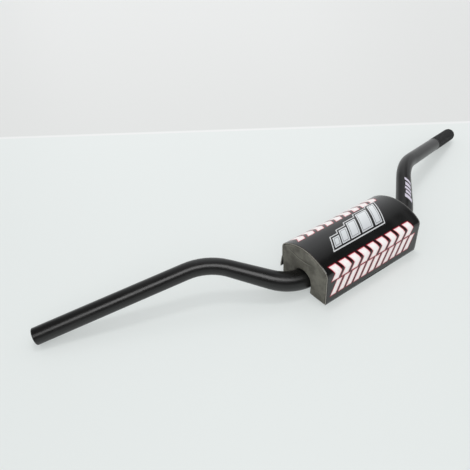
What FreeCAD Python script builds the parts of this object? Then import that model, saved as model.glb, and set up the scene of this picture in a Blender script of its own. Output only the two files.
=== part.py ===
"""Motocross handlebar with its clamp pad.

A crossbarless aluminium bar: 28.6 mm through the clamp section, tapering through
the first bend and the riser to 22.2 mm grips. A foam block in a coated fabric
cover clips over the middle. The pad's flat underside and the two bar ends stand
on the table.

Millimetres. Origin: centre of the clamp section, on the tube's axis.
+X runs along the clamp section, +Y towards the rider, +Z up.
"""
import FreeCAD, Part
import math
import os

Vector = FreeCAD.Vector

# Tube sections
CLAMP_DIAMETER = 28.6
CLAMP_BORE = 20.0
GRIP_DIAMETER = 22.2
GRIP_BORE = 14.0
TAPER_START = 75.0
TAPER_END = 194.0
END_CHAMFER = 0.6

# Tube path: corners of the bent axis on the +X side, and the bend radii
FIRST_CORNER_X = 109.5
SECOND_CORNER_X = 189.3
SECOND_CORNER_Y = 73.4
SECOND_CORNER_Z = 33.9
END_X = 404.0
END_Y = 132.0
FIRST_BEND_RADIUS = 70.0
SECOND_BEND_RADIUS = 86.0

# Foam block
PAD_LENGTH = 175.2
PAD_SHIFT = -5.0
FOAM_WIDTH = 80.4
FOAM_HEIGHT = 63.2
DOME_RADIUS = 61.7
SHOULDER_RADIUS = 7.7
CHANNEL_GAP = 0.3
CHANNEL_MOUTH = 25.2

# Pocket in the foam for the bar clamps
POCKET_LENGTH = 118.0
POCKET_WIDTH = 60.0
POCKET_ROOF = 26.0
POCKET_CORNER = 8.0

# Cover
SOFT_GAP = 0.3
COVER_THICKNESS = 1.0
COVER_INSET = 1.2
FRONT_HEM = 0.6
BACK_HEM = 8.7
LAP_TOP = 30.0
LAP_SLOPE = 3.5
TONGUE_WIDTH = 56.0
TONGUE_TOP = 25.0

# Hook and loop tapes
TAPE_THICKNESS = 0.9
HOOK_HEIGHT = 15.5
HOOK_INSET = 1.5
LOOP_HEIGHT = 18.0
LOOP_INSET = 2.0
TAPE_MARGIN = 0.8

# The clamp section lies on the tongue, so the table's height follows from it
TABLE = -(CLAMP_DIAMETER / 2 + SOFT_GAP + COVER_THICKNESS)
PAD_START = PAD_SHIFT - PAD_LENGTH / 2
FOAM_HALF = FOAM_WIDTH / 2
LAP_STAND = COVER_THICKNESS + 2 * TAPE_THICKNESS
RINGS_PER_BEND = 7


def direction(start, end):
    step = end - start
    step.normalize()
    return step


def bar_end_height():
    """Height of the end's centre with its lower rim on the table."""
    reach = math.hypot(END_X - SECOND_CORNER_X, END_Y - SECOND_CORNER_Y)
    height = TABLE + GRIP_DIAMETER / 2
    for _ in range(6):
        slope = math.atan2(SECOND_CORNER_Z - height, reach)
        rim_drop = GRIP_DIAMETER / 2 * math.cos(slope) - END_CHAMFER * math.sin(slope)
        height = TABLE + rim_drop
    return height


def bar_corners():
    return [
        Vector(0, 0, 0),
        Vector(FIRST_CORNER_X, 0, 0),
        Vector(SECOND_CORNER_X, SECOND_CORNER_Y, SECOND_CORNER_Z),
        Vector(END_X, END_Y, bar_end_height()),
    ]


class Run:
    """A straight stretch of the tube's axis."""

    def __init__(self, start, end):
        self.start = start
        self.heading = direction(start, end)
        self.length = (end - start).Length

    def solid(self, near, far, near_radius, far_radius):
        base = self.start + self.heading * near
        if abs(near_radius - far_radius) < 1e-6:
            return Part.makeCylinder(near_radius, far - near, base, self.heading)
        return Part.makeCone(near_radius, far_radius, far - near, base, self.heading)


class Bend:
    """A circular bend of the tube's axis that rounds one corner."""

    def __init__(self, before, corner, after, radius):
        into = direction(before, corner)
        out = direction(corner, after)
        self.turn = into.getAngle(out)
        trim = radius * math.tan(self.turn / 2)
        self.start = corner - into * trim
        self.end = corner + out * trim
        self.axis = into.cross(out)
        self.axis.normalize()
        self.centre = self.start + self.axis.cross(into) * radius
        self.heading = into
        self.radius = radius
        self.length = radius * self.turn

    def section(self, along, tube_radius):
        turned = FreeCAD.Rotation(self.axis, math.degrees(along / self.radius))
        point = self.centre + turned.multVec(self.start - self.centre)
        circle = Part.Circle(point, turned.multVec(self.heading), tube_radius)
        circle.XAxis = self.axis
        return Part.Wire(circle.toShape())

    def solid(self, near, far, near_radius, far_radius):
        if abs(near_radius - far_radius) < 1e-6:
            disc = Part.Face(self.section(near, near_radius))
            angle = math.degrees((far - near) / self.radius)
            return disc.revolve(self.centre, self.axis, angle)
        rings = []
        for i in range(RINGS_PER_BEND):
            share = i / (RINGS_PER_BEND - 1)
            tube_radius = near_radius + (far_radius - near_radius) * share
            rings.append(self.section(near + (far - near) * share, tube_radius))
        return Part.makeLoft(rings, True, False)


def bar_stretches():
    """Runs and bends of the +X half, from the middle to the end."""
    middle, first, second, end = bar_corners()
    bend_1 = Bend(middle, first, second, FIRST_BEND_RADIUS)
    bend_2 = Bend(first, second, end, SECOND_BEND_RADIUS)
    return [
        Run(middle, bend_1.start),
        bend_1,
        Run(bend_1.end, bend_2.start),
        bend_2,
        Run(bend_2.end, end),
    ]


def tapered_diameter(along, clamp_diameter, grip_diameter):
    share = (along - TAPER_START) / (TAPER_END - TAPER_START)
    share = min(max(share, 0.0), 1.0)
    return clamp_diameter + (grip_diameter - clamp_diameter) * share


def swept_bar(clamp_diameter, grip_diameter):
    """The whole bent and tapered bar as one solid of the given diameters."""
    pieces = []
    passed = 0.0
    for stretch in bar_stretches():
        stations = [passed, passed + stretch.length]
        stations += [s for s in (TAPER_START, TAPER_END) if stations[0] < s < stations[1]]
        stations.sort()
        for near, far in zip(stations, stations[1:]):
            near_radius = tapered_diameter(near, clamp_diameter, grip_diameter) / 2
            far_radius = tapered_diameter(far, clamp_diameter, grip_diameter) / 2
            pieces.append(stretch.solid(near - passed, far - passed, near_radius, far_radius))
        passed += stretch.length
    half = pieces[0].fuse(pieces[1:])
    other = half.mirror(Vector(0, 0, 0), Vector(1, 0, 0))
    return half.fuse(other).removeSplitter()


def end_rims(bar):
    """The outer and inner edges of both open ends."""
    end = bar_corners()[-1]
    ends = [end, Vector(-end.x, end.y, end.z)]
    rims = []
    for edge in bar.Edges:
        if edge.isClosed() and min((edge.CenterOfMass - e).Length for e in ends) < 0.01:
            rims.append(edge)
    return rims


def make_bar():
    tube = swept_bar(CLAMP_DIAMETER, GRIP_DIAMETER).cut(swept_bar(CLAMP_BORE, GRIP_BORE))
    return tube.makeChamfer(END_CHAMFER, end_rims(tube))


def across(y, z):
    """A point of the pad's section, in the plane of the pad's -X end."""
    return Vector(PAD_START, y, z)


def polyline(points):
    return [Part.LineSegment(a, b).toShape() for a, b in zip(points, points[1:])]


def dome_edges(grow):
    """Shoulder, dome and shoulder of the pad's section, grown outwards."""
    wall = FOAM_HALF + grow
    dome = DOME_RADIUS + grow
    shoulder = SHOULDER_RADIUS + grow
    dome_centre = TABLE + FOAM_HEIGHT - DOME_RADIUS
    centre_y = wall - shoulder
    rise = math.sqrt((dome - shoulder) ** 2 - centre_y ** 2)
    centre_z = dome_centre + rise
    lean = math.atan2(rise, centre_y)
    touch_y = centre_y + shoulder * math.cos(lean)
    touch_z = centre_z + shoulder * math.sin(lean)
    mid_y = centre_y + shoulder * math.cos(lean / 2)
    mid_z = centre_z + shoulder * math.sin(lean / 2)
    front = Part.Arc(across(-wall, centre_z), across(-mid_y, mid_z), across(-touch_y, touch_z))
    top = Part.Arc(
        across(-touch_y, touch_z), across(0, dome_centre + dome), across(touch_y, touch_z)
    )
    back = Part.Arc(across(touch_y, touch_z), across(mid_y, mid_z), across(wall, centre_z))
    return [front.toShape(), top.toShape(), back.toShape()], centre_z


def prism(edges, length=PAD_LENGTH):
    face = Part.Face(Part.Wire(Part.__sortEdges__(edges)))
    return face.extrude(Vector(length, 0, 0))


def block(x, y, z):
    """A box from three (low, high) pairs."""
    size = (x[1] - x[0], y[1] - y[0], z[1] - z[0])
    return Part.makeBox(*size, Vector(x[0], y[0], z[0]))


def foam_blank():
    dome, wall_top = dome_edges(0)
    walls = polyline(
        [
            across(FOAM_HALF, wall_top),
            across(FOAM_HALF, TABLE),
            across(-FOAM_HALF, TABLE),
            across(-FOAM_HALF, wall_top),
        ]
    )
    return prism(dome + walls)


def channel():
    """The space of the tube and the narrower mouth that clips over it."""
    clear = 2 * CHANNEL_GAP
    bore = swept_bar(CLAMP_DIAMETER + clear, GRIP_DIAMETER + clear)
    wide = CLAMP_DIAMETER / 2 + CHANNEL_GAP
    narrow = CHANNEL_MOUTH / 2
    outline = [
        across(-wide, 0),
        across(wide, 0),
        across(narrow, TABLE),
        across(-narrow, TABLE),
        across(-wide, 0),
    ]
    return bore.fuse(prism(polyline(outline)))


def clamp_pocket():
    half_length = POCKET_LENGTH / 2
    half_width = POCKET_WIDTH / 2
    pocket = block(
        (-half_length, half_length), (-half_width, half_width), (TABLE, POCKET_ROOF)
    )
    upright = [e for e in pocket.Edges if abs(e.tangentAt(e.FirstParameter).z) > 0.99]
    return pocket.makeFillet(POCKET_CORNER, upright)


def tongue_rebate():
    """Room under the foam's two feet for the closing tongue."""
    half = TONGUE_WIDTH / 2 + SOFT_GAP
    depth = COVER_THICKNESS + SOFT_GAP
    return block((-half, half), (-FOAM_HALF, FOAM_HALF), (TABLE, TABLE + depth))


def make_foam():
    return foam_blank().cut([channel(), clamp_pocket(), tongue_rebate()]).removeSplitter()


def cover_line(grow):
    """One side of the cover, from the front hem over the dome to the back hem."""
    dome, wall_top = dome_edges(grow)
    wall = FOAM_HALF + grow
    front = polyline([across(-wall, TABLE + FRONT_HEM), across(-wall, wall_top)])
    back = polyline(
        [
            across(wall, wall_top),
            across(wall, TABLE + LAP_TOP),
            across(wall + LAP_STAND, TABLE + LAP_TOP - LAP_SLOPE),
            across(wall + LAP_STAND, TABLE + BACK_HEM),
        ]
    )
    return front + dome + back


def tongue():
    """The front wall's lower edge, carried under the tube and up the back wall."""
    inner = FOAM_HALF + SOFT_GAP
    outer = inner + COVER_THICKNESS
    corner = COVER_THICKNESS
    slant = corner * (1 - math.cos(math.pi / 4))
    floor = TABLE + COVER_THICKNESS
    joined = floor + FRONT_HEM
    front_corner = Part.Arc(
        across(-outer, TABLE + corner),
        across(-outer + slant, TABLE + slant),
        across(-outer + corner, TABLE),
    )
    back_corner = Part.Arc(
        across(outer - corner, TABLE),
        across(outer - slant, TABLE + slant),
        across(outer, TABLE + corner),
    )
    edges = [front_corner.toShape(), back_corner.toShape()]
    edges += polyline([across(-outer + corner, TABLE), across(outer - corner, TABLE)])
    edges += polyline(
        [
            across(outer, TABLE + corner),
            across(outer, TABLE + TONGUE_TOP),
            across(inner, TABLE + TONGUE_TOP),
            across(inner, floor),
            across(-inner, floor),
            across(-inner, joined),
            across(-outer, joined),
            across(-outer, TABLE + corner),
        ]
    )
    strip = prism(edges, TONGUE_WIDTH)
    strip.translate(Vector(-TONGUE_WIDTH / 2 - PAD_START, 0, 0))
    return strip


def make_cover():
    """The wrap ends a little short of the foam's two end faces."""
    inside = cover_line(SOFT_GAP)
    outside = cover_line(SOFT_GAP + COVER_THICKNESS)
    inner = FOAM_HALF + SOFT_GAP
    outer = inner + COVER_THICKNESS
    hems = polyline([across(-inner, TABLE + FRONT_HEM), across(-outer, TABLE + FRONT_HEM)])
    hems += polyline(
        [
            across(inner + LAP_STAND, TABLE + BACK_HEM),
            across(outer + LAP_STAND, TABLE + BACK_HEM),
        ]
    )
    wrap = prism(inside + outside + hems, PAD_LENGTH - 2 * COVER_INSET)
    wrap.translate(Vector(COVER_INSET, 0, 0))
    return wrap.fuse(tongue()).removeSplitter()


def make_loop_strip():
    """Sewn on the outside of the tongue's end."""
    half = TONGUE_WIDTH / 2 - LOOP_INSET
    seat = FOAM_HALF + SOFT_GAP + COVER_THICKNESS
    top = TABLE + TONGUE_TOP - TAPE_MARGIN
    return block((-half, half), (seat, seat + TAPE_THICKNESS), (top - LOOP_HEIGHT, top))


def make_hook_strip():
    """Sewn inside the lower edge of the cover's back wall."""
    seat = FOAM_HALF + SOFT_GAP + LAP_STAND
    low = TABLE + BACK_HEM + TAPE_MARGIN
    inset = COVER_INSET + HOOK_INSET
    return block(
        (PAD_START + inset, PAD_START + PAD_LENGTH - inset),
        (seat - TAPE_THICKNESS, seat),
        (low, low + HOOK_HEIGHT),
    )


def main():
    os.makedirs("parts", exist_ok=True)
    nodes = {
        "bar_tube": make_bar(),
        "pad_foam": make_foam(),
        "pad_cover": make_cover(),
        "loop_strip": make_loop_strip(),
        "hook_strip": make_hook_strip(),
    }
    for name, shape in nodes.items():
        shape.exportStep("parts/" + name + ".step")


main()
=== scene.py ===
# %% [markdown]
# # A motocross handlebar with its clamp pad
# The object is a bent, tapered aluminium tube with a foam block clipped over its
# middle. A glossy printed sheet is wrapped round the foam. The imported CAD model
# gives the tube itself and the place of every soft piece, and this file adds the
# finishes, the knurl, the foam's cut faces, the sheet, the tapes and the stitches.

# %% Load the frame
import bmesh
import bpy
import math
import numpy as np
from mathutils import Matrix, Vector, noise


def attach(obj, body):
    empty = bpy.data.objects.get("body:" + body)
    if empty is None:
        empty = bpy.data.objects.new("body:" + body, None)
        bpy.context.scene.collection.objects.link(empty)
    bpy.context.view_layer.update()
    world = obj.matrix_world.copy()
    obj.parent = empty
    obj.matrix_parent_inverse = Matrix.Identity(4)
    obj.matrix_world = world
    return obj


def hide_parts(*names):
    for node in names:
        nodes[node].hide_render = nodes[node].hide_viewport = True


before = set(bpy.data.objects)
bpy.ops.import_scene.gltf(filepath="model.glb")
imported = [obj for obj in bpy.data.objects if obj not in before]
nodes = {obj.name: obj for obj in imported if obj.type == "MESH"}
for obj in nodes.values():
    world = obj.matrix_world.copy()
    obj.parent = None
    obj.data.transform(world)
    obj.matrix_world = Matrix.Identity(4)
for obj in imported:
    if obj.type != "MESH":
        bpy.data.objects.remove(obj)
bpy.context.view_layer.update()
print("CAD nodes:", sorted(nodes))

# %% [markdown]
# The tube rests on its two ends and on the pad's underside, so the table's height
# is the lowest point of the object. All numbers below are metres, in the frame of
# the CAD model: x along the clamp section, y towards the rider, z up.

# %% Sizes shared by several pieces
MM = 0.001
TABLE = -15.6 * MM
PAD_START = -92.6 * MM
PAD_END = 82.6 * MM
FOAM_HALF = 40.2 * MM
DOME_RADIUS = 61.7 * MM
DOME_CENTRE = -14.1 * MM
SHOULDER_RADIUS = 7.7 * MM
SOFT_GAP = 0.3 * MM
COVER_THICKNESS = 1.0 * MM
COVER_INSET = 1.2 * MM
TAPE_THICKNESS = 0.9 * MM
TONGUE_HALF = 28.0 * MM
GRIP_RADIUS = 11.1 * MM


# %% [markdown]
# Small helpers keep the node trees readable. `put` adds a node and fills its inputs
# in order, with a number, a colour or another node's output. The others wrap the
# nodes that are used most.

# %% Helpers for node trees
def put(tree, kind, *feeds, **settings):
    made = tree.nodes.new(kind)
    for name, value in settings.items():
        setattr(made, name, value)
    for place, feed in enumerate(feeds):
        if feed is None:
            continue
        if isinstance(feed, bpy.types.NodeSocket):
            tree.links.new(feed, made.inputs[place])
        else:
            made.inputs[place].default_value = feed
    return made


def maths(tree, operation, *feeds):
    return put(tree, "ShaderNodeMath", *feeds, operation=operation).outputs[0]


def dot(tree, first, second):
    made = put(tree, "ShaderNodeVectorMath", first, second, operation="DOT_PRODUCT")
    return made.outputs["Value"]


def ramp(tree, value, start, stop, low, high, kind="LINEAR"):
    """Goes from low to high while the value goes from start to stop, and stays there."""
    made = put(tree, "ShaderNodeMapRange", value, start, stop, low, high)
    made.interpolation_type = kind
    return made.outputs[0]


def object_place(tree):
    """The point's place in the frame of the CAD model, as every piece is at the origin."""
    return put(tree, "ShaderNodeTexCoord").outputs["Object"]


def add_bump(tree, shader, height, strength, distance):
    bump = put(tree, "ShaderNodeBump", strength, distance)
    tree.links.new(height, bump.inputs["Height"])
    tree.links.new(bump.outputs[0], shader.inputs["Normal"])


def add_object(name, data):
    made = bpy.data.objects.new(name, data)
    bpy.context.collection.objects.link(made)
    return made


def mix_colour(tree, share, first, second, blend="MIX"):
    made = tree.nodes.new("ShaderNodeMix")
    made.data_type = "RGBA"
    made.blend_type = blend
    for place, feed in ((0, share), (6, first), (7, second)):
        if isinstance(feed, bpy.types.NodeSocket):
            tree.links.new(feed, made.inputs[place])
        else:
            made.inputs[place].default_value = feed
    return made.outputs[2]


def new_material(name, roughness=0.5, metallic=0.0, specular=0.5):
    material = bpy.data.materials.new(name)
    material.use_nodes = True
    shader = material.node_tree.nodes["Principled BSDF"]
    shader.inputs["Roughness"].default_value = roughness
    shader.inputs["Metallic"].default_value = metallic
    shader.inputs["Specular IOR Level"].default_value = specular
    return material, material.node_tree, shader


def new_group(name, inputs, outputs):
    """A shader node group. Inputs and outputs are (name, kind, default) triples."""
    tree = bpy.data.node_groups.new(name, "ShaderNodeTree")
    for title, kind, value in inputs:
        socket = tree.interface.new_socket(title, in_out="INPUT", socket_type=kind)
        if value is not None:
            socket.default_value = value
    for title, kind, _ in outputs:
        tree.interface.new_socket(title, in_out="OUTPUT", socket_type=kind)
    entry = tree.nodes.new("NodeGroupInput")
    way_out = tree.nodes.new("NodeGroupOutput")
    return tree, entry.outputs, way_out.inputs


def use_group(tree, group, **values):
    made = tree.nodes.new("ShaderNodeGroup")
    made.node_tree = group
    for title, value in values.items():
        socket = made.inputs[title.replace("_", " ")]
        if isinstance(value, bpy.types.NodeSocket):
            tree.links.new(value, socket)
        else:
            socket.default_value = value
    return made.outputs


FLOAT, VECTOR, WHOLE = "NodeSocketFloat", "NodeSocketVector", "NodeSocketInt"
BLACK = (0.0, 0.0, 0.0, 1)


# %% [markdown]
# ## Camera
# The camera was found by fitting the tube's two edges and the pad's corners to the
# photograph, with the bar's width held at 808 mm. A wider bar would put it further off.

# %% Camera
CAMERA_PLACE = (-0.406684, -0.332888, 0.423547)
CAMERA_RIGHT = Vector((0.811585, -0.580979, -0.061586))
CAMERA_DOWN = Vector((-0.39301, -0.464909, -0.793349))
CAMERA_AHEAD = Vector((0.432287, 0.668075, -0.605643))
LENS_MM = 36.275
SENSOR_MM = 36.0


def make_camera():
    camera = add_object("camera", bpy.data.cameras.new("camera"))
    turn = Matrix((CAMERA_RIGHT, -CAMERA_DOWN, -CAMERA_AHEAD)).transposed().to_4x4()
    camera.matrix_world = Matrix.Translation(CAMERA_PLACE) @ turn
    camera.data.sensor_width = SENSOR_MM
    camera.data.lens = LENS_MM
    camera.data.clip_start = 0.01
    bpy.context.scene.camera = camera


make_camera()


# %% [markdown]
# ## Table and light
# The object lies on a pale, slightly cool table. Beyond a fold line the same flat
# plane takes a wall's tone. The fold line itself is a painted highlight, a bright band
# in the table's colour. Most of the light comes from an even room, so the shadows are
# soft, and one lamp, high and a little behind, gives them their edge. The photograph's
# shadows are fainter still, so the table adds half of its own colour as a glow. Only
# the camera and gloss see it, and it lights nothing else.
#
# Black pieces show mainly what they mirror. So gloss alone, told apart by Light Path,
# sees the room's bright and dark sides, and a long soft lamp that draws the bright
# line along the tube.

# %% Table
WALL_FOOT = (0.124, 0.455, 0.0)
TO_WALL = (0.625, 0.781, 0.0)
TABLE_SIZE = 8.0
TABLE_TONE = (0.755, 0.79, 0.78, 1)
WALL_TONE = (0.706, 0.715, 0.706, 1)
# Colour of the painted highlight along the fold line.
FOLD_HIGHLIGHT_TONE = (0.82, 0.828, 0.824, 1)
TABLE_GLOW = 0.5


def make_table():
    bpy.ops.mesh.primitive_plane_add(size=TABLE_SIZE, location=(0, 0, TABLE))
    table = bpy.context.object
    table.name = "table"
    material, tree, shader = new_material("pale_table", roughness=0.28, specular=0.4)
    where = object_place(tree)
    from_wall = put(tree, "ShaderNodeVectorMath", where, WALL_FOOT, operation="SUBTRACT")
    beyond = dot(tree, from_wall.outputs[0], TO_WALL)
    is_wall = ramp(tree, beyond, -0.002, 0.004, 0.0, 1.0)
    pale = mix_colour(tree, is_wall, TABLE_TONE, WALL_TONE)
    # Painted highlight: a bright band along the fold line.
    fold_highlight = ramp(tree, maths(tree, "ABSOLUTE", beyond), 0.002, 0.007, 1.0, 0.0)
    tone = mix_colour(tree, fold_highlight, pale, FOLD_HIGHLIGHT_TONE)
    ray = put(tree, "ShaderNodeLightPath").outputs
    is_seen = maths(tree, "MAXIMUM", ray["Is Camera Ray"], ray["Is Glossy Ray"])
    glow = maths(tree, "MULTIPLY", is_seen, TABLE_GLOW)
    tree.links.new(mix_colour(tree, glow, tone, BLACK), shader.inputs["Base Color"])
    tree.links.new(tone, shader.inputs["Emission Color"])
    tree.links.new(glow, shader.inputs["Emission Strength"])
    table.data.materials.append(material)


make_table()


# %% Lamps and room
LAMPS = (
    dict(name="key", place=(0.15, 0.55, 2.4), target=(0.1, 0.1, 0),
         size=(0.5, 0.5), power=12.0, in_gloss=False),
    dict(name="overhead", place=(0.2, 0.3, 2.6), target=(0.1, 0.1, 0),
         size=(3.2, 2.6), power=3.0, in_gloss=False),
    dict(name="fill", place=(-1.0, -1.9, 1.4), target=(0, 0, 0),
         size=(2.6, 1.4), power=17.0, in_gloss=False),
    dict(name="soft_line", place=(-0.58, -0.83, 1.22), target=(-0.38, 0.05, 0),
         size=(1.7, 0.72), power=16.5, in_gloss=True),
)


def make_lamp(name, place, target, size, power, in_gloss):
    """An area lamp that is seen either in gloss or by matt surfaces, and not by both."""
    lamp = bpy.data.lights.new(name, "AREA")
    lamp.shape = "RECTANGLE"
    lamp.size, lamp.size_y = size
    lamp.energy = power
    holder = add_object(name, lamp)
    aim = (Vector(target) - Vector(place)).to_track_quat("-Z", "Y")
    holder.matrix_world = Matrix.Translation(place) @ aim.to_matrix().to_4x4()
    holder.visible_glossy = in_gloss
    holder.visible_diffuse = not in_gloss


TO_CEILING = (-0.25, 0.9, 0.35)
ROOM_TONE = (0.72, 0.725, 0.73, 1)
ROOM_BRIGHT = (0.97, 0.985, 1.0, 1)


def make_room():
    """An even pale room. Gloss sees it bright at the back and far right, dark in front."""
    world = bpy.data.worlds.new("room")
    bpy.context.scene.world = world
    world.use_nodes = True
    tree = world.node_tree
    heading = put(tree, "ShaderNodeTexCoord").outputs["Generated"]
    x, y, z = put(tree, "ShaderNodeSeparateXYZ", heading).outputs
    over = dot(tree, heading, TO_CEILING)
    first = ramp(tree, over, 0.02, 0.2, 0.05, 0.42, "SMOOTHSTEP")
    then = ramp(tree, over, 0.2, 0.55, 0.0, 0.55)
    to_right = ramp(tree, x, -0.3, 0.25, 0.1, 1.0)
    high = maths(tree, "MULTIPLY", maths(tree, "ADD", first, then), to_right)
    horizon = ramp(tree, z, 0.18, 0.42, 1.0, 0.0, "SMOOTHSTEP")
    to_back = ramp(tree, y, -0.5, 0.1, 0.2, 0.85)
    low = maths(tree, "MULTIPLY", horizon, to_back)
    far_right = ramp(tree, x, 0.66, 0.82, 0.0, 1.0)
    raised = ramp(tree, z, 0.15, 0.4, 0.0, 0.95)
    side = maths(tree, "MULTIPLY", far_right, raised)
    tone = maths(tree, "MAXIMUM", maths(tree, "MAXIMUM", high, low), side)
    mirrored = mix_colour(tree, tone, BLACK, ROOM_BRIGHT)
    is_gloss = put(tree, "ShaderNodeLightPath").outputs["Is Glossy Ray"]
    seen = mix_colour(tree, is_gloss, ROOM_TONE, mirrored)
    tree.links.new(seen, tree.nodes["Background"].inputs["Color"])


make_room()
for lamp in LAMPS:
    make_lamp(**lamp)
bpy.context.scene.view_settings.view_transform = "Standard"


# %% [markdown]
# ## Shared effects
# Fine grain breaks up every finish. It is one group that gives a mask and a height,
# placed in each material with its own scale.

# %% Shared effect: grain
def make_grain_group():
    tree, given, result = new_group(
        "fine_grain",
        [("Vector", VECTOR, None), ("Fine Scale", FLOAT, 2000.0), ("Coarse Scale", FLOAT, 60.0)],
        [("Fine", FLOAT, None), ("Coarse", FLOAT, None)],
    )
    fine = put(tree, "ShaderNodeTexNoise", given["Vector"])
    tree.links.new(given["Fine Scale"], fine.inputs["Scale"])
    fine.inputs["Detail"].default_value = 3.0
    coarse = put(tree, "ShaderNodeTexNoise", given["Vector"])
    tree.links.new(given["Coarse Scale"], coarse.inputs["Scale"])
    coarse.inputs["Detail"].default_value = 5.0
    tree.links.new(fine.outputs["Fac"], result["Fine"])
    tree.links.new(coarse.outputs["Fac"], result["Coarse"])
    return tree


GRAIN = make_grain_group()


# %% Shared effect: a leaning block
END_STEEPNESS = 6.0


def make_block_group():
    """Distance in millimetres to a row of blocks that lean, or are bent to arrows.

    With the default pitch and row the group gives one single block. Past the row's
    ends the distance grows END_STEEPNESS times as fast, so that no outline runs on.
    """
    numbers = [
        ("X", 0.0), ("S", 0.0), ("Centre X", 0.0), ("Centre S", 0.0),
        ("Half Width", 1.0), ("Half Height", 1.0), ("Lean", 0.0), ("Arrow", 0.0),
        ("Pitch", 1000.0), ("Half Row", 500.0),
    ]
    tree, given, result = new_group(
        "leaning_block", [(n, FLOAT, value) for n, value in numbers], [("Distance", FLOAT, None)]
    )
    up = maths(tree, "SUBTRACT", given["S"], given["Centre S"])
    along = maths(tree, "SUBTRACT", given["X"], given["Centre X"])
    height = maths(tree, "ABSOLUTE", up)
    leaned = maths(tree, "SUBTRACT", along, maths(tree, "MULTIPLY", up, given["Lean"]))
    bent = maths(tree, "ADD", leaned, maths(tree, "MULTIPLY", height, given["Arrow"]))
    half_pitch = maths(tree, "MULTIPLY", given["Pitch"], 0.5)
    in_step = maths(tree, "WRAP", bent, half_pitch, maths(tree, "MULTIPLY", half_pitch, -1.0))
    wide = maths(tree, "SUBTRACT", maths(tree, "ABSOLUTE", in_step), given["Half Width"])
    high = maths(tree, "SUBTRACT", height, given["Half Height"])
    past_end = maths(tree, "SUBTRACT", maths(tree, "ABSOLUTE", bent), given["Half Row"])
    shape = maths(tree, "MAXIMUM", wide, high)
    cut_off = maths(tree, "MULTIPLY", past_end, END_STEEPNESS)
    tree.links.new(maths(tree, "MAXIMUM", shape, cut_off), result["Distance"])
    return tree


BLOCK = make_block_group()


def inside(tree, distance, edge=0.0, softness=0.25):
    """1 where the distance is under the edge, with a soft step of the print's bleed."""
    return ramp(tree, distance, edge - softness, edge + softness, 1.0, 0.0, "SMOOTHSTEP")


def millimetres(tree, socket):
    return maths(tree, "MULTIPLY", socket, 1000.0)


# %% [markdown]
# ## The tube
# The tube is bead blasted and anodised black. It is one CAD node, and its shape is
# right, so it only gets a finish: a dark body with a satin roughness that varies a
# little. The marks on one riser are five pale leaning blocks, placed along the
# riser's own axis and turned towards the front. Each is given by its place along the
# riser, half its width and half its height, in millimetres.

# %% The tube's finish
RISER_START = Vector((0.130057, 0.018908, 0.008733))
RISER_HEADING = Vector((0.702465, 0.646127, 0.298417)).normalized()
RISER_FRONT = Vector((-0.35, -0.73, 0.49))
RISER_RADIUS_MM = 12.0
RISER_MARKS = (
    (6.0, 3.4, 5.6),
    (15.0, 2.6, 4.2),
    (22.5, 2.2, 5.2),
    (31.0, 3.4, 4.4),
    (40.5, 2.4, 5.4),
)


def make_tube_material():
    material, tree, shader = new_material("black_anodised", roughness=0.28, specular=0.5)
    where = object_place(tree)
    grain = use_group(tree, GRAIN, Vector=where, Fine_Scale=2600.0, Coarse_Scale=45.0)
    tone = ramp(tree, grain["Coarse"], 0.3, 0.7, 0.85, 1.2)
    body = mix_colour(tree, 1.0, (0.0045, 0.0043, 0.0042, 1), tone, "MULTIPLY")
    from_start = put(
        tree, "ShaderNodeVectorMath", where, tuple(RISER_START), operation="SUBTRACT").outputs[0]
    front = (RISER_FRONT - RISER_HEADING * RISER_FRONT.dot(RISER_HEADING)).normalized()
    side = RISER_HEADING.cross(front)
    angle = maths(
        tree, "ARCTAN2", dot(tree, from_start, tuple(side)), dot(tree, from_start, tuple(front)))
    across_mm = maths(tree, "MULTIPLY", angle, RISER_RADIUS_MM)
    along_mm = millimetres(tree, dot(tree, from_start, tuple(RISER_HEADING)))
    marks = None
    for centre, half, tall in RISER_MARKS:
        block = use_group(
            tree, BLOCK, X=along_mm, S=across_mm, Centre_X=centre, Half_Width=half,
            Half_Height=tall, Lean=-0.8,
        )["Distance"]
        marks = block if marks is None else maths(tree, "MINIMUM", marks, block)
    painted = mix_colour(tree, inside(tree, marks), body, (0.62, 0.58, 0.68, 1))
    tree.links.new(painted, shader.inputs["Base Color"])
    rough = ramp(tree, grain["Coarse"], 0.3, 0.7, 0.27, 0.33)
    tree.links.new(rough, shader.inputs["Roughness"])
    add_bump(tree, shader, grain["Fine"], 0.03, 0.00004)
    return material


tube = nodes["bar_tube"]
tube_material = make_tube_material()
tube.data.materials.clear()
tube.data.materials.append(tube_material)
print("tube faces:", len(tube.data.polygons))


# %% [markdown]
# ## The knurl
# The left grip's outer 85 mm are knurled so that a glued grip holds. A knurl is one
# small pyramid repeated round and along the tube, which is work for Geometry Nodes:
# a grid of points is rolled up, every second row is moved by half a step, and a
# four-sided cone stands on each point.

# %% Geometry Nodes helpers
def geometry_tree(name, inputs):
    tree = bpy.data.node_groups.new(name, "GeometryNodeTree")
    tree.interface.new_socket("Geometry", in_out="INPUT", socket_type="NodeSocketGeometry")
    for title, kind, value in inputs:
        socket = tree.interface.new_socket(title, in_out="INPUT", socket_type=kind)
        if value is not None:
            socket.default_value = value
    tree.interface.new_socket("Geometry", in_out="OUTPUT", socket_type="NodeSocketGeometry")
    entry = tree.nodes.new("NodeGroupInput")
    way_out = tree.nodes.new("NodeGroupOutput")
    return tree, entry.outputs, way_out.inputs


def end_tree(tree, result, instances, material):
    real = put(tree, "GeometryNodeRealizeInstances", instances)
    dressed = put(tree, "GeometryNodeSetMaterial", real.outputs[0])
    dressed.inputs["Material"].default_value = material
    tree.links.new(dressed.outputs[0], result["Geometry"])


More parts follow.
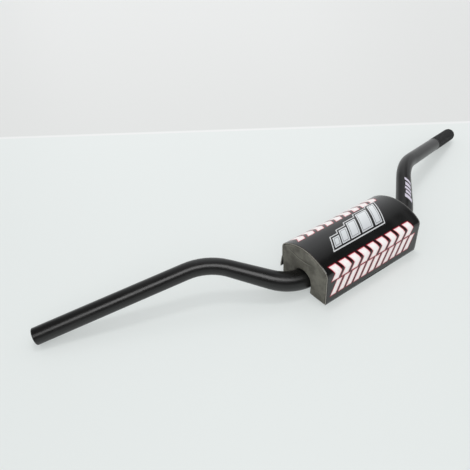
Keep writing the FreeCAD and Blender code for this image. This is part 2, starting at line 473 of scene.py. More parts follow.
def grown(name, tree, start_mesh):
    """Runs a tree on a mesh and gives back a plain mesh object at the origin."""
    seed = add_object(name + "_seed", start_mesh)
    modifier = seed.modifiers.new("grow", "NODES")
    modifier.node_group = tree
    ready = seed.evaluated_get(bpy.context.evaluated_depsgraph_get())
    mesh = bpy.data.meshes.new_from_object(ready)
    bpy.data.objects.remove(seed)
    print(name, "faces:", len(mesh.polygons))
    return add_object(name, mesh)


# %% The knurl's tree
TOOTH_SUNK = 0.00004


def knurl_tree(material):
    tree, given, result = geometry_tree(
        "knurl",
        [
            ("Radius", FLOAT, GRIP_RADIUS),
            ("Length", FLOAT, 0.085),
            ("Columns", WHOLE, 56),
            ("Rows", WHOLE, 137),
            ("Height", FLOAT, 0.00022),
        ],
    )
    grid = put(tree, "GeometryNodeMeshGrid", 1.0, 1.0)
    tree.links.new(given["Columns"], grid.inputs["Vertices X"])
    tree.links.new(given["Rows"], grid.inputs["Vertices Y"])
    index = put(tree, "GeometryNodeInputIndex").outputs[0]
    column = maths(tree, "FLOOR", maths(tree, "DIVIDE", index, given["Rows"]))
    row = maths(tree, "MODULO", index, given["Rows"])
    shift = maths(tree, "MULTIPLY", maths(tree, "MODULO", row, 2.0), 0.5)
    step = maths(tree, "DIVIDE", 2 * math.pi, given["Columns"])
    turn = maths(tree, "MULTIPLY", maths(tree, "ADD", column, shift), step)
    rise = maths(tree, "MULTIPLY", maths(tree, "DIVIDE", row, given["Rows"]), given["Length"])
    cosine, sine = maths(tree, "COSINE", turn), maths(tree, "SINE", turn)
    out = put(tree, "ShaderNodeCombineXYZ", cosine, sine, 0.0)
    flat = put(tree, "ShaderNodeVectorMath", out.outputs[0], operation="SCALE")
    foot_radius = maths(tree, "SUBTRACT", given["Radius"], TOOTH_SUNK)
    tree.links.new(foot_radius, flat.inputs["Scale"])
    up = put(tree, "ShaderNodeCombineXYZ", 0.0, 0.0, rise)
    spot = put(tree, "ShaderNodeVectorMath", flat.outputs[0], up.outputs[0], operation="ADD")
    placed = put(tree, "GeometryNodeSetPosition", grid.outputs[0])
    tree.links.new(spot.outputs[0], placed.inputs["Position"])
    tooth = put(tree, "GeometryNodeMeshCone", fill_type="NONE")
    tooth.inputs["Vertices"].default_value = 4
    tooth.inputs["Radius Top"].default_value = 0.0
    width = maths(tree, "MULTIPLY", maths(tree, "MULTIPLY", step, given["Radius"]), 0.5)
    tree.links.new(width, tooth.inputs["Radius Bottom"])
    tree.links.new(given["Height"], tooth.inputs["Depth"])
    outward = put(tree, "FunctionNodeAlignRotationToVector", None, 1.0, out.outputs[0], axis="Z")
    level = put(
        tree, "FunctionNodeAlignRotationToVector", outward.outputs[0], 1.0, (0, 0, 1),
        axis="X", pivot_axis="Z")
    teeth = put(tree, "GeometryNodeInstanceOnPoints", placed.outputs[0])
    tree.links.new(tooth.outputs["Mesh"], teeth.inputs["Instance"])
    tree.links.new(level.outputs[0], teeth.inputs["Rotation"])
    end_tree(tree, result, teeth.outputs[0], material)
    return tree


def make_knurl_material():
    material, tree, shader = new_material("knurled_black", roughness=0.62)
    where = object_place(tree)
    grain = use_group(tree, GRAIN, Vector=where, Fine_Scale=1500.0, Coarse_Scale=80.0)
    tone = ramp(tree, grain["Coarse"], 0.3, 0.7, 0.0, 1.0)
    colour = mix_colour(tree, tone, (0.006, 0.006, 0.0065, 1), (0.011, 0.011, 0.012, 1))
    tree.links.new(colour, shader.inputs["Base Color"])
    rough = ramp(tree, grain["Fine"], 0.3, 0.7, 0.55, 0.75)
    tree.links.new(rough, shader.inputs["Roughness"])
    return material


GRIP_HEADING = Vector((0.950473, 0.259421, -0.171176)).normalized()
GRIP_END = Vector((0.404, 0.132, -0.0047665))
KNURL_LENGTH = 0.0845
KNURL_MARGIN = 0.0008

knurl = grown("grip_knurl", knurl_tree(make_knurl_material()), bpy.data.meshes.new("empty"))
knurl_start = GRIP_END - GRIP_HEADING * (KNURL_LENGTH + KNURL_MARGIN)
to_grip = GRIP_HEADING.to_track_quat("Z", "Y").to_matrix().to_4x4()
knurl.data.transform(Matrix.Translation(knurl_start) @ to_grip)
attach(knurl, "root")


# %% [markdown]
# ## The foam block
# The block is sawn from grey-green closed-cell foam, so its faces are a little
# uneven and its edges are soft. A copy of the CAD solid is remeshed to an even
# grid, which rounds the edges by a voxel, and each point is then moved by a small
# noise. The outer walls stay inside the sheet, because they are drawn in first. Its
# small pores carry painted shade. A long faint crease, a ridge beside a groove, runs
# over the channel on one end face. The ridge carries a painted highlight and the
# groove carries painted shade.

# %% The foam block
BROAD_WAVE_MM = 0.35
FINE_WAVE_MM = 0.22
DRAWN_IN = 0.35 * MM
FLOOR_ZONE = TABLE + 0.4 * MM
FLOOR_TOP = TABLE + 0.05 * MM
VOXEL = 1.6 * MM


def clean_copy(node_name, name):
    mesh = nodes[node_name].data.copy()
    build = bmesh.new()
    build.from_mesh(mesh)
    bmesh.ops.remove_doubles(build, verts=build.verts, dist=0.00001)
    build.to_mesh(mesh)
    build.free()
    mesh.materials.clear()
    return add_object(name, mesh)


def baked(piece):
    """Applies the modifiers of a piece and takes them off."""
    ready = piece.evaluated_get(bpy.context.evaluated_depsgraph_get())
    mesh = bpy.data.meshes.new_from_object(ready)
    piece.modifiers.clear()
    piece.data = mesh
    return mesh


def fractal(x, y, z, scale, seed):
    return noise.fractal(Vector((x * scale + seed, y * scale, z * scale)), 1.0, 2.0, 3)


def shape_foam(mesh):
    points = np.empty(len(mesh.vertices) * 3)
    mesh.vertices.foreach_get("co", points)
    points = points.reshape(-1, 3)
    normals = np.empty(len(mesh.vertices) * 3)
    mesh.vertex_normals.foreach_get("vector", normals)
    normals = normals.reshape(-1, 3)
    for i, (x, y, z) in enumerate(points):
        broad = fractal(x, y, z, 60.0, 3.0) * BROAD_WAVE_MM * MM
        fine = fractal(x, y, z, 420.0, 9.0) * FINE_WAVE_MM * MM
        points[i] += normals[i] * (broad + fine - DRAWN_IN)
    near_floor = points[:, 2] < FLOOR_ZONE
    points[near_floor, 2] = np.clip(points[near_floor, 2], TABLE, FLOOR_TOP)
    mesh.vertices.foreach_set("co", points.ravel())
    mesh.update()


CREASE_CENTRE = (0.0, 0.0025, 0.1073)
CREASE_RADIUS = 0.0774
CREASE_MIDDLE_Y = 0.008
GROOVE_OFFSET = -0.0014
# Colours of the crease's painted highlight on the ridge and painted shade in the groove.
RIDGE_HIGHLIGHT_TONE = (0.28, 0.27, 0.235, 1)
GROOVE_SHADE_TONE = (0.05, 0.05, 0.042, 1)


def foam_crease(tree, where):
    """Masks of the ridge and the groove of the long faint crease over the channel, on the -X end
    face. The bump follows them, and so do the painted highlight on the ridge and the painted
    shade in the groove.
    """
    x, y, z = put(tree, "ShaderNodeSeparateXYZ", where).outputs
    in_plane = put(tree, "ShaderNodeCombineXYZ", 0.0, y, z).outputs[0]
    apart = put(tree, "ShaderNodeVectorMath", in_plane, CREASE_CENTRE, operation="DISTANCE")
    offset = maths(tree, "SUBTRACT", apart.outputs["Value"], CREASE_RADIUS)
    from_middle = maths(tree, "ABSOLUTE", maths(tree, "SUBTRACT", y, CREASE_MIDDLE_Y))
    length = ramp(tree, from_middle, 0.012, 0.024, 1.0, 0.0)
    on_end = maths(tree, "LESS_THAN", x, PAD_START + 2 * MM)
    shown = maths(tree, "MULTIPLY", length, on_end)
    lines = []
    for centre in (0.0, GROOVE_OFFSET):
        away = maths(tree, "ABSOLUTE", maths(tree, "SUBTRACT", offset, centre))
        line = ramp(tree, away, 0.0003, 0.0011, 1.0, 0.0)
        lines.append(maths(tree, "MULTIPLY", line, shown))
    return lines


def make_foam_material():
    material, tree, shader = new_material("cut_foam", roughness=0.85, specular=0.25)
    where = object_place(tree)
    grain = use_group(tree, GRAIN, Vector=where, Fine_Scale=900.0, Coarse_Scale=70.0)
    patches = ramp(tree, grain["Coarse"], 0.40, 0.62, 0.0, 1.0)
    body = mix_colour(tree, patches, (0.118, 0.114, 0.096, 1), (0.194, 0.188, 0.160, 1))
    cells = put(tree, "ShaderNodeTexVoronoi", where)
    cells.inputs["Scale"].default_value = 1100.0
    # Painted shade: the pores are darkened where the bump sinks them.
    pore_shade = ramp(tree, cells.outputs["Distance"], 0.0, 0.45, 0.62, 1.0)
    pore_shaded = mix_colour(tree, 1.0, body, pore_shade, "MULTIPLY")
    ridge, groove = foam_crease(tree, where)
    # Painted highlight on the crease's ridge, then painted shade in its groove.
    raised = mix_colour(tree, maths(tree, "MULTIPLY", ridge, 0.7), pore_shaded, RIDGE_HIGHLIGHT_TONE)
    crease_highlight_and_shade = mix_colour(tree, maths(tree, "MULTIPLY", groove, 0.6), raised, GROOVE_SHADE_TONE)
    tree.links.new(crease_highlight_and_shade, shader.inputs["Base Color"])
    grainy = maths(tree, "MULTIPLY", grain["Fine"], 0.6)
    height = maths(tree, "ADD", grainy, cells.outputs["Distance"])
    pressed = maths(tree, "ADD", height, maths(tree, "SUBTRACT", ridge, groove))
    add_bump(tree, shader, pressed, 0.5, 0.0004)
    return material


foam = clean_copy("pad_foam", "foam_block")
remesh = foam.modifiers.new("even", "REMESH")
remesh.mode = "VOXEL"
remesh.voxel_size = VOXEL
shape_foam(baked(foam))
foam.data.polygons.foreach_set("use_smooth", [True] * len(foam.data.polygons))
foam.data.materials.append(make_foam_material())
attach(foam, "root")
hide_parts("pad_foam")
print("foam faces:", len(foam.data.polygons))


# %% [markdown]
# ## The cover
# The cover is one sheet, cut flat and wrapped tight: front wall, dome, back wall.
# Its section is a line of straight walls and arcs, so the sheet is a grid that
# follows that line and is then given its thickness. The middle of the front edge
# goes on under the tube as a tongue. Each point keeps its distance along the
# section as its UV, in millimetres over UV_SPAN, and the print is drawn on that.
# FLAT_BELOW is the room that the tongue takes below the front hem on the flat sheet.

# %% The cover's section
UV_SPAN = 400.0
FLAT_BELOW = 160
LAP_STAND = COVER_THICKNESS + 2 * TAPE_THICKNESS
LAP_TOP = TABLE + 30 * MM
LAP_LOW = TABLE + 26.5 * MM
TONGUE_TOP = TABLE + 25 * MM
FRONT_HEM = TABLE + 0.6 * MM
BACK_HEM = TABLE + 8.7 * MM
TONGUE_BEND = 0.6 * MM


def arc_points(centre, radius, start, stop, count):
    turns = np.linspace(start, stop, count)
    return [(centre[0] + radius * math.cos(t), centre[1] + radius * math.sin(t)) for t in turns]


def wall_points(start, stop, spacing=2.5 * MM):
    count = max(2, int(math.dist(start, stop) / spacing) + 1)
    return [tuple(p) for p in np.linspace(start, stop, count)]


def wrap_line(grow):
    """Section of the sheet in (y, z), from the front hem over the dome to the back hem."""
    wall = FOAM_HALF + grow
    dome = DOME_RADIUS + grow
    shoulder = SHOULDER_RADIUS + grow
    centre_y = wall - shoulder
    centre_z = DOME_CENTRE + math.sqrt((dome - shoulder) ** 2 - centre_y ** 2)
    lean = math.atan2(centre_z - DOME_CENTRE, centre_y)
    line = wall_points((-wall, FRONT_HEM), (-wall, centre_z))[:-1]
    line += arc_points((-centre_y, centre_z), shoulder, math.pi, math.pi - lean, 7)[:-1]
    line += arc_points((0, DOME_CENTRE), dome, math.pi - lean, lean, 42)[:-1]
    line += arc_points((centre_y, centre_z), shoulder, lean, 0, 7)[:-1]
    lapped = wall + LAP_STAND
    line += wall_points((wall, centre_z), (wall, LAP_TOP))[:-1]
    line += wall_points((wall, LAP_TOP), (lapped, LAP_LOW), 1.5 * MM)[:-1]
    line += wall_points((lapped, LAP_LOW), (lapped, BACK_HEM))
    return line


def tongue_line(grow):
    """From the front hem down, under the tube and up the back of the foam."""
    wall = FOAM_HALF + grow
    floor = TABLE + COVER_THICKNESS / 2
    turn = TONGUE_BEND
    line = arc_points((-wall + turn, floor + turn), turn, math.pi, 1.5 * math.pi, 4)
    line += wall_points((-wall + turn, floor), (wall - turn, floor))[1:-1]
    line += arc_points((wall - turn, floor + turn), turn, -0.5 * math.pi, 0, 4)
    line += wall_points((wall, floor + turn), (wall, TONGUE_TOP))[1:]
    return line


# %% The cover's sheet
HEM_STANDS_OFF_MM = 1.6
HEM_DRAWN_IN_MM = 1.7
HEM_LEAN_START = -45 * MM
HEM_LEAN_LENGTH = 47 * MM
HEM_STANDS_OFF_OVER = 21 * MM
HEM_DRAWN_IN_OVER = 3.5 * MM
SNUG_OVER = 6 * MM
WAVE_MM = 0.28
RIPPLE_MM = 0.07
END_WAVE_MM = 0.25
END_ZONE = 12 * MM


def smooth(value):
    value = min(max(value, 0.0), 1.0)
    return value * value * (3 - 2 * value)


def hem_lift(x, z):
    """How the hem leans at the pad's -X end, where no loop tape is under it.

    Its top lies closer to the foam and its lower edge stands off.
    """
    down = smooth((LAP_TOP - z) / HEM_STANDS_OFF_OVER)
    begun = smooth((LAP_TOP - z) / HEM_DRAWN_IN_OVER)
    end = smooth((HEM_LEAN_START - x) / HEM_LEAN_LENGTH)
    return (HEM_STANDS_OFF_MM * down - HEM_DRAWN_IN_MM * (1 - down) * begun) * end * MM


def sheet_offset(x, y, z, s):
    """The small waves of a tight sheet, a little stronger towards its two ends."""
    slow = noise.noise(Vector((x * 24, s * 30, 4.0))) + 0.5
    fine = noise.noise(Vector((x * 70, s * 26, 8.0)))
    edge = smooth(1 - min(x - PAD_START, PAD_END - x) / END_ZONE)
    return (WAVE_MM * slow + RIPPLE_MM * fine + END_WAVE_MM * edge * slow) * MM


def make_cover_mesh():
    build = bmesh.new()
    layer = build.loops.layers.uv.new("flat")
    stations = list(np.linspace(PAD_START + COVER_INSET, -TONGUE_HALF, 30))
    stations += list(np.linspace(-TONGUE_HALF, TONGUE_HALF, 26))[1:]
    stations += list(np.linspace(TONGUE_HALF, PAD_END - COVER_INSET, 26))[1:]
    line = wrap_line(SOFT_GAP + COVER_THICKNESS / 2)
    lengths = [0.0]
    for a, b in zip(line, line[1:]):
        lengths.append(lengths[-1] + math.dist(a, b))
    flat = {}

    def point(x, y, z, s, push):
        vert = build.verts.new((x, y + push[0], z + push[1]))
        flat[vert] = ((x - PAD_START) / MM / UV_SPAN, (s / MM + FLAT_BELOW) / UV_SPAN)
        return vert

    rows = []
    for i, (y, z) in enumerate(line):
        before, after = line[max(i - 1, 0)], line[min(i + 1, len(line) - 1)]
        along = Vector((after[0] - before[0], after[1] - before[1])).normalized()
        outward = (-along.y, along.x)
        row = []
        for x in stations:
            off = sheet_offset(x, y, z, lengths[i])
            low = smooth((z - TABLE) / SNUG_OVER) if y < 0 else 1.0
            lift = hem_lift(x, z) if y > 0 and z < LAP_TOP else 0.0
            push = (outward[0] * off * low + lift, outward[1] * off * low)
            row.append(point(x, y, z, lengths[i], push))
        rows.append(row)
    for low, high in zip(rows, rows[1:]):
        for a, b, c, d in zip(low, low[1:], high[1:], high):
            build.faces.new((a, b, c, d))
    middle = [i for i, x in enumerate(stations) if abs(x) <= TONGUE_HALF + 1e-9]
    last = [rows[0][i] for i in middle]
    s = 0.0
    previous = line[0]
    for y, z in tongue_line(SOFT_GAP + COVER_THICKNESS / 2):
        s -= math.dist(previous, (y, z))
        previous = (y, z)
        row = [point(stations[i], y, z, s, (0.0, 0.0)) for i in middle]
        for a, b, c, d in zip(row, row[1:], last[1:], last):
            build.faces.new((a, b, c, d))
        last = row
    for face in build.faces:
        for loop in face.loops:
            loop[layer].uv = flat[loop.vert]
        face.smooth = True
    bmesh.ops.recalc_face_normals(build, faces=build.faces)
    top = max(build.faces, key=lambda f: f.calc_center_median().z)
    if top.normal.z < 0:
        bmesh.ops.reverse_faces(build, faces=build.faces)
    mesh = bpy.data.meshes.new("cover_sheet")
    build.to_mesh(mesh)
    area = sum(f.calc_area() for f in build.faces)
    build.free()
    return mesh, lengths[-1], -s, area


# %% [markdown]
# The print is drawn on the sheet's own coordinates: x along the pad and s up from
# the front hem, both in millimetres. Rows of arrows and leaning blocks run along
# both long sides in white with a pink blush and a red outline. On the dome lies an
# emblem of five rising bars in grey-white with dark inner lines and a silver outline.
# Each bar is given by its two centres, half its width and half its height. At both
# ends a thin pale line runs along the sheet's edge.

# %% The cover's print
MIDDLE_X = -5.0
SILVER = (0.62, 0.63, 0.64, 1)
INNER_LINE = (0.10, 0.10, 0.11, 1)
PALE_END_TONE = (0.13, 0.12, 0.105, 1)
ROWS = (
    dict(Centre_S=22.4, Half_Height=10.8, Half_Width=4.5, Pitch=13.8, Half_Row=75.9, Lean=0.45),
    dict(Centre_S=46.0, Half_Height=10.2, Half_Width=5.5, Pitch=16.8, Half_Row=75.6, Arrow=0.5),
    dict(Centre_S=122.5, Half_Height=9.8, Half_Width=5.5, Pitch=16.8, Half_Row=75.6, Arrow=0.5),
    dict(Centre_S=146.0, Half_Height=9.5, Half_Width=4.5, Pitch=13.8, Half_Row=75.9, Lean=-0.45),
)
EMBLEM_BARS = (
    (-47.0, 80.0, 5.6, 7.0),
    (-31.0, 83.0, 6.6, 10.0),
    (-12.0, 86.0, 8.2, 13.0),
    (12.0, 89.0, 10.2, 16.0),
    (34.0, 91.0, 6.4, 18.0),
)


def nearest(tree, distances):
    least = distances[0]
    for distance in distances[1:]:
        least = maths(tree, "MINIMUM", least, distance)
    return least


def line_at(tree, distance, offset, half):
    """A line of the given half width that follows a shape at an offset."""
    away = maths(tree, "ABSOLUTE", maths(tree, "SUBTRACT", distance, offset))
    return maths(tree, "SUBTRACT", away, half)


def printed_rows(tree, x, s, black):
    edge = nearest(tree, [
        use_group(tree, BLOCK, X=x, S=s, Centre_X=MIDDLE_X, **row)["Distance"] for row in ROWS
    ])
    bleed = mix_colour(tree, inside(tree, edge, 1.5, 0.8), black, (0.07, 0.004, 0.008, 1))
    red = mix_colour(tree, inside(tree, edge, 0.75, 0.35), bleed, (0.45, 0.012, 0.035, 1))
    blush = ramp(tree, edge, -2.6, -0.2, 0.0, 1.0)
    white = mix_colour(tree, blush, (0.95, 0.91, 0.90, 1), (0.88, 0.66, 0.67, 1))
    return mix_colour(tree, inside(tree, edge, 0.0, 0.3), red, white)


def printed_emblem(tree, x, s, below):
    bars = [
        use_group(
            tree, BLOCK, X=x, S=s, Centre_X=centre, Centre_S=middle, Half_Width=half,
            Half_Height=tall, Lean=0.6,
        )["Distance"]
        for centre, middle, half, tall in EMBLEM_BARS
    ]
    edge = nearest(tree, bars)
    outline = mix_colour(tree, inside(tree, line_at(tree, edge, 3.2, 0.75)), below, SILVER)
    shine = ramp(tree, s, 68.0, 108.0, 0.0, 1.0)
    grey = mix_colour(tree, shine, (0.50, 0.52, 0.54, 1), (0.80, 0.83, 0.84, 1))
    filled = mix_colour(tree, inside(tree, edge), outline, grey)
    return mix_colour(tree, inside(tree, line_at(tree, edge, -2.1, 0.35)), filled, INNER_LINE)


def make_cover_material():
    material, tree, shader = new_material("printed_cover", roughness=0.15, specular=0.5)
    uv = put(tree, "ShaderNodeUVMap", uv_map="flat").outputs[0]
    place = put(tree, "ShaderNodeSeparateXYZ", uv)
    x = maths(tree, "ADD", maths(tree, "MULTIPLY", place.outputs[0], UV_SPAN), PAD_START / MM)
    s = maths(tree, "SUBTRACT", maths(tree, "MULTIPLY", place.outputs[1], UV_SPAN), FLAT_BELOW)
    where = object_place(tree)
    grain = use_group(tree, GRAIN, Vector=where, Fine_Scale=1400.0, Coarse_Scale=40.0)
    black = mix_colour(tree, grain["Coarse"], (0.005, 0.005, 0.005, 1), (0.009, 0.009, 0.009, 1))
    print_colour = printed_emblem(tree, x, s, printed_rows(tree, x, s, black))
    from_middle = maths(tree, "ABSOLUTE", maths(tree, "SUBTRACT", x, MIDDLE_X))
    # A thin pale line along both end edges of the sheet.
    pale_end_line = ramp(tree, from_middle, 85.3, 86.0, 0.0, 0.85)
    whole = mix_colour(tree, pale_end_line, print_colour, PALE_END_TONE)
    tree.links.new(whole, shader.inputs["Base Color"])
    rough = ramp(tree, grain["Coarse"], 0.3, 0.7, 0.12, 0.2)
    tree.links.new(rough, shader.inputs["Roughness"])
    add_bump(tree, shader, grain["Fine"], 0.1, 0.0001)
    return material


def make_backing_material(name, dark, pale):
    material, tree, shader = new_material(name, roughness=0.9, specular=0.2)
    where = object_place(tree)
    grain = use_group(tree, GRAIN, Vector=where, Fine_Scale=1800.0, Coarse_Scale=90.0)
    colour = mix_colour(tree, grain["Fine"], dark, pale)
    tree.links.new(colour, shader.inputs["Base Color"])
    return material


def thickened(piece, thickness, inner_slots=0):
    """Gives a sheet its thickness on both sides of its middle surface."""
    solid = piece.modifiers.new("thickness", "SOLIDIFY")
    solid.thickness = thickness
    solid.offset = 0.0
    solid.material_offset = min(inner_slots, 1)
    solid.material_offset_rim = inner_slots
    baked(piece)


cover_mesh, wrap_length, tongue_length, cover_area = make_cover_mesh()
cover = add_object("cover_sheet", cover_mesh)
cover.data.materials.append(make_cover_material())
cover.data.materials.append(
    make_backing_material("cover_backing", (0.14, 0.15, 0.135, 1), (0.26, 0.27, 0.25, 1)))
cover.data.materials.append(
    make_backing_material("cover_cut_edge", (0.26, 0.25, 0.215, 1), (0.46, 0.44, 0.39, 1)))
thickened(cover, COVER_THICKNESS, 2)
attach(cover, "root")
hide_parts("pad_cover")
print("cover: wrap %.0f mm, tongue %.0f mm, faces %d" % (
    wrap_length / MM, tongue_length / MM, len(cover.data.polygons)))


# %% [markdown]
# ## The closure
# The tongue carries loop tape and the back wall's hem carries hook tape, so the pad
# can be pulled tight round the tube. Each tape is a woven strip. Its pile is one
# small form stood on every point of the strip by Geometry Nodes, leaning a little
# at random: a bent hook on one tape and an open loop on the other.

# %% The closure's places
TAPE_BACKING = 0.45 * MM
TAPE_SPACING = 2.0 * MM
HOOK_SPACING = 1.5 * MM
LOOP_SPACING = 1.2 * MM
WALL_OUT = FOAM_HALF + SOFT_GAP + COVER_THICKNESS
HOOK_SEAT = WALL_OUT + 2 * TAPE_THICKNESS
HOOK_LOW = BACK_HEM + 0.8 * MM
HOOK_HIGH = HOOK_LOW + 15.5 * MM
HOOK_START = PAD_START + COVER_INSET + 1.5 * MM
HOOK_END = PAD_END - COVER_INSET - 1.5 * MM
LOOP_HIGH = TABLE + 24.2 * MM
LOOP_LOW = LOOP_HIGH - 18 * MM
LOOP_HALF = TONGUE_HALF - 2 * MM


def strip_mesh(name, x_range, z_range, place_y, spacing, facing):
    """A grid in x and z at the height that place_y gives, facing +y or -y."""
    columns = int((x_range[1] - x_range[0]) / spacing) + 1
    rows = int((z_range[1] - z_range[0]) / spacing) + 1
    build = bmesh.new()
    grid = [
        [build.verts.new((x, place_y(x, z), z)) for x in np.linspace(*x_range, columns)]
        for z in np.linspace(*z_range, rows)
    ]
    for low, high in zip(grid, grid[1:]):
        for a, b, c, d in zip(low, low[1:], high[1:], high):
            build.faces.new((a, b, c, d) if facing < 0 else (d, c, b, a))
    mesh = bpy.data.meshes.new(name)
    build.to_mesh(mesh)
    build.free()
    return mesh


def hook_back(x, z):
    return HOOK_SEAT - TAPE_BACKING / 2 + hem_lift(x, z)


def loop_back(x, z):
    return WALL_OUT + TAPE_BACKING / 2


# %% The tapes' pile
def pile_tree(name, hooks, material):
    tree, given, result = geometry_tree(
        name,
        [("Height", FLOAT, 0.0004), ("Thread", FLOAT, 0.00007), ("Lean", FLOAT, 0.3),
         ("Seed", WHOLE, 7)],
    )
    bow = put(tree, "GeometryNodeCurveArc", mode="RADIUS")
    bow.inputs["Resolution"].default_value = 5 if hooks else 7
    tree.links.new(maths(tree, "MULTIPLY", given["Height"], 0.5), bow.inputs["Radius"])
    bow.inputs["Sweep Angle"].default_value = math.radians(200 if hooks else 300)
    bow.inputs["Start Angle"].default_value = math.radians(-60)
    ring = put(tree, "GeometryNodeCurvePrimitiveCircle")
    ring.inputs["Resolution"].default_value = 3
    tree.links.new(given["Thread"], ring.inputs["Radius"])
    thread = put(tree, "GeometryNodeCurveToMesh", bow.outputs[0], ring.outputs[0])
    upright = put(tree, "GeometryNodeTransform", thread.outputs[0])
    half_up = maths(tree, "MULTIPLY", given["Height"], 0.45)
    rise = put(tree, "ShaderNodeCombineXYZ", 0.0, 0.0, half_up)
    tree.links.new(rise.outputs[0], upright.inputs["Translation"])
    upright.inputs["Rotation"].default_value = (math.pi / 2, 0.0, 0.0)
    least = maths(tree, "MULTIPLY", given["Lean"], -1.0)
    tilt = put(tree, "FunctionNodeRandomValue", data_type="FLOAT")
    tree.links.new(least, tilt.inputs[2])
    tree.links.new(given["Lean"], tilt.inputs[3])
    tree.links.new(given["Seed"], tilt.inputs["Seed"])
    outward = put(tree, "FunctionNodeAlignRotationToVector", None, 1.0, axis="Z")
    tree.links.new(put(tree, "GeometryNodeInputNormal").outputs[0], outward.inputs["Vector"])
    nod = put(tree, "ShaderNodeCombineXYZ", tilt.outputs[1], tilt.outputs[1], 0.0)
    leaned = put(tree, "FunctionNodeRotateRotation", outward.outputs[0], rotation_space="LOCAL")
    tree.links.new(nod.outputs[0], leaned.inputs[1])
    pile = put(tree, "GeometryNodeInstanceOnPoints", given["Geometry"])
    tree.links.new(upright.outputs[0], pile.inputs["Instance"])
    tree.links.new(leaned.outputs[0], pile.inputs["Rotation"])
    end_tree(tree, result, pile.outputs[0], material)
    return tree


def make_tape_material(name, colour, roughness):
    """Black woven tape: fine ribs across the strip, with paler threads in it."""
    material, tree, shader = new_material(name, roughness=roughness, specular=0.3)
    where = object_place(tree)
    grain = use_group(tree, GRAIN, Vector=where, Fine_Scale=2500.0, Coarse_Scale=120.0)
    pale = tuple(2.2 * c for c in colour[:3]) + (1,)
    tree.links.new(mix_colour(tree, grain["Fine"], colour, pale), shader.inputs["Base Color"])
    ribs = put(tree, "ShaderNodeTexWave", where, 900.0, bands_direction="X")
    add_bump(tree, shader, ribs.outputs["Fac"], 0.4, 0.0001)
    return material


# %% The two tapes
def make_tape(name, node_name, x_range, z_range, place_y, facing, hooks):
    tape = add_object(name, strip_mesh(name, x_range, z_range, place_y, TAPE_SPACING, facing))
    tape.data.materials.append(TAPE_MATERIAL)
    thickened(tape, TAPE_BACKING)
    top = strip_mesh(
        name + "_top", (x_range[0] + MM, x_range[1] - MM), (z_range[0] + MM, z_range[1] - MM),
        lambda x, z: place_y(x, z) + facing * TAPE_BACKING / 2,
        HOOK_SPACING if hooks else LOOP_SPACING, facing,
    )
    pile = grown(name + "_pile", pile_tree(name + "_pile", hooks, PILE_MATERIAL), top)
    for piece in (tape, pile):
        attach(piece, "root")
    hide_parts(node_name)


TAPE_MATERIAL = make_tape_material("woven_tape", (0.010, 0.010, 0.011, 1), 0.8)
PILE_MATERIAL = make_tape_material("tape_pile", (0.014, 0.014, 0.015, 1), 0.6)
make_tape("hook_tape", "hook_strip", (HOOK_START, HOOK_END), (HOOK_LOW, HOOK_HIGH),
          hook_back, -1, True)
make_tape("loop_tape", "loop_strip", (-LOOP_HALF, LOOP_HALF), (LOOP_LOW, LOOP_HIGH),
          loop_back, 1, False)


# %% [markdown]
# ## Stitches
# Two rows of lockstitch hold the hook tape to the back wall, and one row runs round
# the loop tape. A row is a line in space, resampled to the stitch length, with one
# rounded thread on each point, turned along the line.

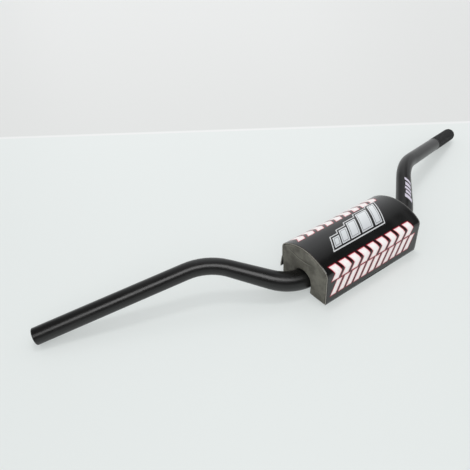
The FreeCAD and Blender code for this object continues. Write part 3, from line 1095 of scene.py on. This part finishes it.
# %% The stitches' tree
def stitch_tree(material):
    tree, given, result = geometry_tree(
        "stitches",
        [("Pitch", FLOAT, 0.0030), ("Length", FLOAT, 0.0022), ("Thread", FLOAT, 0.00028)],
    )
    path = put(tree, "GeometryNodeMeshToCurve", given["Geometry"])
    spaced = put(tree, "GeometryNodeResampleCurve", path.outputs[0], mode="LENGTH")
    tree.links.new(given["Pitch"], spaced.inputs["Length"])
    bead = put(tree, "GeometryNodeMeshUVSphere")
    bead.inputs["Segments"].default_value = 8
    bead.inputs["Rings"].default_value = 6
    tree.links.new(given["Thread"], bead.inputs["Radius"])
    half_length = maths(tree, "MULTIPLY", given["Length"], 0.5)
    stretch = maths(tree, "DIVIDE", half_length, given["Thread"])
    longer = put(tree, "GeometryNodeTransform", bead.outputs[0])
    scale = put(tree, "ShaderNodeCombineXYZ", 1.0, 1.0, stretch)
    tree.links.new(scale.outputs[0], longer.inputs["Scale"])
    along = put(tree, "FunctionNodeAlignRotationToVector", None, 1.0, axis="Z")
    tree.links.new(put(tree, "GeometryNodeInputTangent").outputs[0], along.inputs["Vector"])
    row = put(tree, "GeometryNodeInstanceOnPoints", spaced.outputs[0])
    tree.links.new(longer.outputs[0], row.inputs["Instance"])
    tree.links.new(along.outputs[0], row.inputs["Rotation"])
    end_tree(tree, result, row.outputs[0], material)
    return tree


def back_wall_out(x, z):
    """Outer face of the back wall's hem, with the sheet's own waves."""
    s = wrap_length - (z - BACK_HEM)
    wave = sheet_offset(x, FOAM_HALF + SOFT_GAP + COVER_THICKNESS / 2 + LAP_STAND, z, s)
    return HOOK_SEAT + COVER_THICKNESS + wave + hem_lift(x, z)


def line_mesh(name, rows):
    build = bmesh.new()
    for row in rows:
        verts = [build.verts.new(point) for point in row]
        for a, b in zip(verts, verts[1:]):
            build.edges.new((a, b))
    mesh = bpy.data.meshes.new(name)
    build.to_mesh(mesh)
    build.free()
    return mesh


def make_thread_material():
    material, tree, shader = new_material("black_thread", roughness=0.55)
    where = object_place(tree)
    grain = use_group(tree, GRAIN, Vector=where, Fine_Scale=3000.0, Coarse_Scale=100.0)
    colour = mix_colour(tree, grain["Fine"], (0.012, 0.012, 0.013, 1), (0.035, 0.035, 0.037, 1))
    tree.links.new(colour, shader.inputs["Base Color"])
    return material


# %% The stitched rows
SUNK = 0.05 * MM
HEM_ROW_INSET = 1.6 * MM
HEM_ROW_POINTS = 85
LOOP_ROW_INSET = 0.6 * MM


def hem_rows():
    xs = np.linspace(HOOK_START + 2 * MM, HOOK_END - 2 * MM, HEM_ROW_POINTS)
    return [
        [(x, back_wall_out(x, z) + SUNK, z) for x in xs]
        for z in (HOOK_LOW + HEM_ROW_INSET, HOOK_HIGH - HEM_ROW_INSET)
    ]


def loop_rows():
    half = LOOP_HALF - LOOP_ROW_INSET
    low, high = LOOP_LOW + LOOP_ROW_INSET, LOOP_HIGH - LOOP_ROW_INSET
    y = WALL_OUT + TAPE_BACKING + SUNK
    corners = [(-half, low), (half, low), (half, high), (-half, high), (-half, low)]
    return [[(x, y, z) for x, z in corners]]


row_lines = line_mesh("rows", hem_rows() + loop_rows())
stitches = grown("stitches", stitch_tree(make_thread_material()), row_lines)
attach(stitches, "root")
